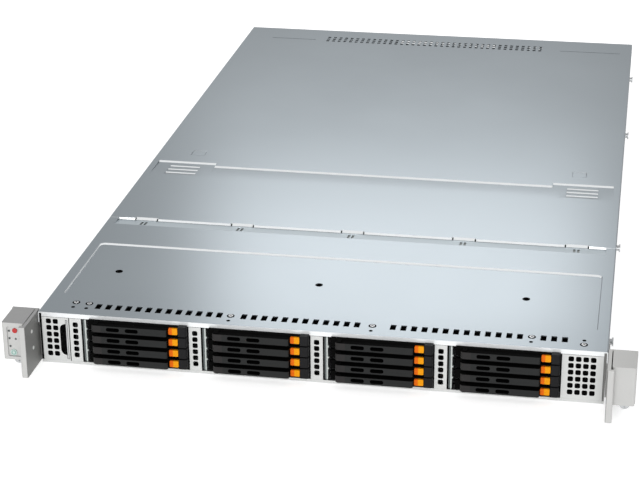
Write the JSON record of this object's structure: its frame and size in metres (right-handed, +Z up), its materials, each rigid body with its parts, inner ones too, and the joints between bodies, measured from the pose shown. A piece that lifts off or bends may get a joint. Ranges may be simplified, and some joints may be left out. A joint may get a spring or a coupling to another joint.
{
  "type": "1u rack server",
  "caption": "Low wide rack server with pull-out drives on swing levers, vented covers, rack ears and plug-in power supplies.",
  "frame": {"origin": "middle of the chassis's front bottom edge: on the underside, on the plane of the front panels", "axes": "+X to the right seen from the front, +Y from the front to the rear, +Z up"},
  "size_m": [0.4808, 0.841, 0.0436],
  "materials": {
    "cover_steel": "satin galvanised sheet",
    "tray_steel": "satin galvanised sheet",
    "front_paint": "light grey satin",
    "ear_paint": "silver grey satin",
    "carrier": "black carrier with a metal drive shell",
    "lever_plastic": "charcoal moulded",
    "latch_orange": "orange moulded",
    "button_green": "green lit ring",
    "button_red": "red moulded",
    "light_lens": "clear dark lens",
    "card_plastic": "white card",
    "fastener": "zinc plated",
    "board_green": "board laminate",
    "memory_board": "board laminate",
    "sink_metal": "milled fins",
    "duct_plastic": "black sheet",
    "fan_plastic": "black moulded",
    "supply_steel": "satin sheet",
    "port_shell": "plated shells"
  },
  "bodies": {
    "chassis": {"chassis_base": "tray_steel", "front_cover": "cover_steel", "cover_screws": "fastener", "front_grilles": "front_paint", "drive_cage": "tray_steel", "drive_backplane": "board_green", "fan_frames": "fan_plastic", "fan_rotors": "fan_plastic", "motherboard": "board_green", "memory_modules": "memory_board", "cpu_heatsinks": "sink_metal", "air_shroud": "duct_plastic", "rear_ports": "port_shell", "left_ear": "ear_paint", "right_ear": "ear_paint", "panel_lights": "light_lens", "rack_screws": "fastener", "rail_studs": "fastener"},
    "drive_1_1": {"drive_1_1": "carrier"},
    "lever_1_1": {"lever_1_1": "lever_plastic"},
    "drive_1_2": {"drive_1_2": "carrier"},
    "lever_1_2": {"lever_1_2": "lever_plastic"},
    "drive_1_3": {"drive_1_3": "carrier"},
    "lever_1_3": {"lever_1_3": "lever_plastic"},
    "drive_1_4": {"drive_1_4": "carrier"},
    "lever_1_4": {"lever_1_4": "lever_plastic"},
    "drive_2_1": {"drive_2_1": "carrier"},
    "lever_2_1": {"lever_2_1": "lever_plastic"},
    "drive_2_2": {"drive_2_2": "carrier"},
    "lever_2_2": {"lever_2_2": "lever_plastic"},
    "drive_2_3": {"drive_2_3": "carrier"},
    "lever_2_3": {"lever_2_3": "lever_plastic"},
    "drive_2_4": {"drive_2_4": "carrier"},
    "lever_2_4": {"lever_2_4": "lever_plastic"},
    "drive_3_1": {"drive_3_1": "carrier"},
    "lever_3_1": {"lever_3_1": "lever_plastic"},
    "drive_3_2": {"drive_3_2": "carrier"},
    "lever_3_2": {"lever_3_2": "lever_plastic"},
    "drive_3_3": {"drive_3_3": "carrier"},
    "lever_3_3": {"lever_3_3": "lever_plastic"},
    "drive_3_4": {"drive_3_4": "carrier"},
    "lever_3_4": {"lever_3_4": "lever_plastic"},
    "drive_4_1": {"drive_4_1": "carrier"},
    "lever_4_1": {"lever_4_1": "lever_plastic"},
    "drive_4_2": {"drive_4_2": "carrier"},
    "lever_4_2": {"lever_4_2": "lever_plastic"},
    "drive_4_3": {"drive_4_3": "carrier"},
    "lever_4_3": {"lever_4_3": "lever_plastic"},
    "drive_4_4": {"drive_4_4": "carrier"},
    "lever_4_4": {"lever_4_4": "lever_plastic"},
    "rear_cover": {"rear_cover": "cover_steel"},
    "cover_release_left": {"cover_release_left": "cover_steel"},
    "cover_release_right": {"cover_release_right": "cover_steel"},
    "service_tag": {"service_tag": "card_plastic"},
    "power_button": {"power_button": "button_green"},
    "uid_button": {"uid_button": "button_red"},
    "power_supply_1": {"power_supply_1": "supply_steel"},
    "supply_latch_1": {"supply_latch_1": "latch_orange"},
    "power_supply_2": {"power_supply_2": "supply_steel"},
    "supply_latch_2": {"supply_latch_2": "latch_orange"}
  },
  "joints": [
    {"name": "drive_1_1_slide", "type": "slide", "parent": "chassis", "child": "drive_1_1", "axis": [0, -1, 0], "range_m": [0, 0.13]},
    {"name": "lever_1_1_swing", "type": "hinge", "parent": "drive_1_1", "child": "lever_1_1", "pos_m": [-0.1706, -0.0065, 0.0088], "axis": [0, 0, -1], "range_deg": [0, 50]},
    {"name": "drive_1_2_slide", "type": "slide", "parent": "chassis", "child": "drive_1_2", "axis": [0, -1, 0], "range_m": [0, 0.13]},
    {"name": "lever_1_2_swing", "type": "hinge", "parent": "drive_1_2", "child": "lever_1_2", "pos_m": [-0.1706, -0.0065, 0.018], "axis": [0, 0, -1], "range_deg": [0, 50]},
    {"name": "drive_1_3_slide", "type": "slide", "parent": "chassis", "child": "drive_1_3", "axis": [0, -1, 0], "range_m": [0, 0.13]},
    {"name": "lever_1_3_swing", "type": "hinge", "parent": "drive_1_3", "child": "lever_1_3", "pos_m": [-0.1706, -0.0065, 0.0272], "axis": [0, 0, -1], "range_deg": [0, 50]},
    {"name": "drive_1_4_slide", "type": "slide", "parent": "chassis", "child": "drive_1_4", "axis": [0, -1, 0], "range_m": [0, 0.13]},
    {"name": "lever_1_4_swing", "type": "hinge", "parent": "drive_1_4", "child": "lever_1_4", "pos_m": [-0.1706, -0.0065, 0.0364], "axis": [0, 0, -1], "range_deg": [0, 50]},
    {"name": "drive_2_1_slide", "type": "slide", "parent": "chassis", "child": "drive_2_1", "axis": [0, -1, 0], "range_m": [0, 0.13]},
    {"name": "lever_2_1_swing", "type": "hinge", "parent": "drive_2_1", "child": "lever_2_1", "pos_m": [-0.076, -0.0065, 0.0088], "axis": [0, 0, -1], "range_deg": [0, 50]},
    {"name": "drive_2_2_slide", "type": "slide", "parent": "chassis", "child": "drive_2_2", "axis": [0, -1, 0], "range_m": [0, 0.13]},
    {"name": "lever_2_2_swing", "type": "hinge", "parent": "drive_2_2", "child": "lever_2_2", "pos_m": [-0.076, -0.0065, 0.018], "axis": [0, 0, -1], "range_deg": [0, 50]},
    {"name": "drive_2_3_slide", "type": "slide", "parent": "chassis", "child": "drive_2_3", "axis": [0, -1, 0], "range_m": [0, 0.13]},
    {"name": "lever_2_3_swing", "type": "hinge", "parent": "drive_2_3", "child": "lever_2_3", "pos_m": [-0.076, -0.0065, 0.0272], "axis": [0, 0, -1], "range_deg": [0, 50]},
    {"name": "drive_2_4_slide", "type": "slide", "parent": "chassis", "child": "drive_2_4", "axis": [0, -1, 0], "range_m": [0, 0.13]},
    {"name": "lever_2_4_swing", "type": "hinge", "parent": "drive_2_4", "child": "lever_2_4", "pos_m": [-0.076, -0.0065, 0.0364], "axis": [0, 0, -1], "range_deg": [0, 50]},
    {"name": "drive_3_1_slide", "type": "slide", "parent": "chassis", "child": "drive_3_1", "axis": [0, -1, 0], "range_m": [0, 0.13]},
    {"name": "lever_3_1_swing", "type": "hinge", "parent": "drive_3_1", "child": "lever_3_1", "pos_m": [0.0186, -0.0065, 0.0088], "axis": [0, 0, -1], "range_deg": [0, 50]},
    {"name": "drive_3_2_slide", "type": "slide", "parent": "chassis", "child": "drive_3_2", "axis": [0, -1, 0], "range_m": [0, 0.13]},
    {"name": "lever_3_2_swing", "type": "hinge", "parent": "drive_3_2", "child": "lever_3_2", "pos_m": [0.0186, -0.0065, 0.018], "axis": [0, 0, -1], "range_deg": [0, 50]},
    {"name": "drive_3_3_slide", "type": "slide", "parent": "chassis", "child": "drive_3_3", "axis": [0, -1, 0], "range_m": [0, 0.13]},
    {"name": "lever_3_3_swing", "type": "hinge", "parent": "drive_3_3", "child": "lever_3_3", "pos_m": [0.0186, -0.0065, 0.0272], "axis": [0, 0, -1], "range_deg": [0, 50]},
    {"name": "drive_3_4_slide", "type": "slide", "parent": "chassis", "child": "drive_3_4", "axis": [0, -1, 0], "range_m": [0, 0.13]},
    {"name": "lever_3_4_swing", "type": "hinge", "parent": "drive_3_4", "child": "lever_3_4", "pos_m": [0.0186, -0.0065, 0.0364], "axis": [0, 0, -1], "range_deg": [0, 50]},
    {"name": "drive_4_1_slide", "type": "slide", "parent": "chassis", "child": "drive_4_1", "axis": [0, -1, 0], "range_m": [0, 0.13]},
    {"name": "lever_4_1_swing", "type": "hinge", "parent": "drive_4_1", "child": "lever_4_1", "pos_m": [0.1132, -0.0065, 0.0088], "axis": [0, 0, -1], "range_deg": [0, 50]},
    {"name": "drive_4_2_slide", "type": "slide", "parent": "chassis", "child": "drive_4_2", "axis": [0, -1, 0], "range_m": [0, 0.13]},
    {"name": "lever_4_2_swing", "type": "hinge", "parent": "drive_4_2", "child": "lever_4_2", "pos_m": [0.1132, -0.0065, 0.018], "axis": [0, 0, -1], "range_deg": [0, 50]},
    {"name": "drive_4_3_slide", "type": "slide", "parent": "chassis", "child": "drive_4_3", "axis": [0, -1, 0], "range_m": [0, 0.13]},
    {"name": "lever_4_3_swing", "type": "hinge", "parent": "drive_4_3", "child": "lever_4_3", "pos_m": [0.1132, -0.0065, 0.0272], "axis": [0, 0, -1], "range_deg": [0, 50]},
    {"name": "drive_4_4_slide", "type": "slide", "parent": "chassis", "child": "drive_4_4", "axis": [0, -1, 0], "range_m": [0, 0.13]},
    {"name": "lever_4_4_swing", "type": "hinge", "parent": "drive_4_4", "child": "lever_4_4", "pos_m": [0.1132, -0.0065, 0.0364], "axis": [0, 0, -1], "range_deg": [0, 50]},
    {"name": "rear_cover_slide", "type": "slide", "parent": "chassis", "child": "rear_cover", "axis": [0, 1, 0], "range_m": [0, 0.015]},
    {"name": "cover_release_left_push", "type": "slide", "parent": "rear_cover", "child": "cover_release_left", "axis": [0, 0, -1], "range_m": [0, 0.0015], "stiffness_N_per_m": 400},
    {"name": "cover_release_right_push", "type": "slide", "parent": "rear_cover", "child": "cover_release_right", "axis": [0, 0, -1], "range_m": [0, 0.0015], "stiffness_N_per_m": 400},
    {"name": "service_tag_slide", "type": "slide", "parent": "chassis", "child": "service_tag", "axis": [0, -1, 0], "range_m": [0, 0.05]},
    {"name": "power_button_push", "type": "slide", "parent": "chassis", "child": "power_button", "axis": [0, 1, 0], "range_m": [0, 0.0008], "stiffness_N_per_m": 300},
    {"name": "uid_button_push", "type": "slide", "parent": "chassis", "child": "uid_button", "axis": [0, 1, 0], "range_m": [0, 0.0008], "stiffness_N_per_m": 300},
    {"name": "power_supply_1_slide", "type": "slide", "parent": "chassis", "child": "power_supply_1", "axis": [0, 1, 0], "range_m": [0, 0.19]},
    {"name": "supply_latch_1_press", "type": "hinge", "parent": "power_supply_1", "child": "supply_latch_1", "pos_m": [-0.146, 0.765, 0.021], "axis": [0, 0, 1], "range_deg": [0, 5], "stiffness_Nm_per_rad": 0.05},
    {"name": "power_supply_2_slide", "type": "slide", "parent": "chassis", "child": "power_supply_2", "axis": [0, 1, 0], "range_m": [0, 0.19]},
    {"name": "supply_latch_2_press", "type": "hinge", "parent": "power_supply_2", "child": "supply_latch_2", "pos_m": [-0.0707, 0.765, 0.021], "axis": [0, 0, 1], "range_deg": [0, 5], "stiffness_Nm_per_rad": 0.05}
  ]
}
